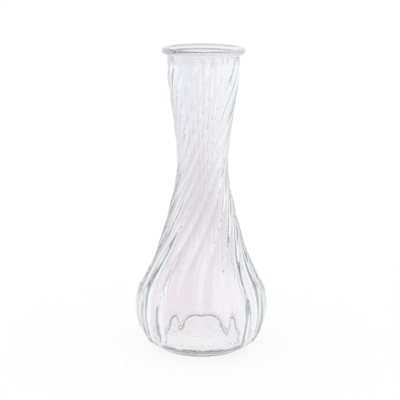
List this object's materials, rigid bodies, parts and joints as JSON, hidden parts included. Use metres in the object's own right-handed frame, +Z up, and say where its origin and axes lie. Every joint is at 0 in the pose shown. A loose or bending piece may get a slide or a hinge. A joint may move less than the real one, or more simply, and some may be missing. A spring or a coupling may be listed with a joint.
{
  "type": "bud vase",
  "caption": "Clear glass bud vase: a round fluted bulb rises into a slim neck with spiralling flutes and a rolled rim. It stands on a flat foot and holds water and a few stems.",
  "frame": {"origin": "centre of the foot, on the plane that the vase stands on", "axes": "+Z up the vase's axis to the mouth; the picture looks along +Y from -Y, with +X to the right, and a ridge of the bulb lies 2.3 degrees from -Y towards +X"},
  "size_m": [0.095, 0.095, 0.216],
  "materials": {
    "clear_glass": "fire-polished, smooth and clear"
  },
  "bodies": {
    "root": {"vase": "clear_glass"}
  },
  "joints": []
}
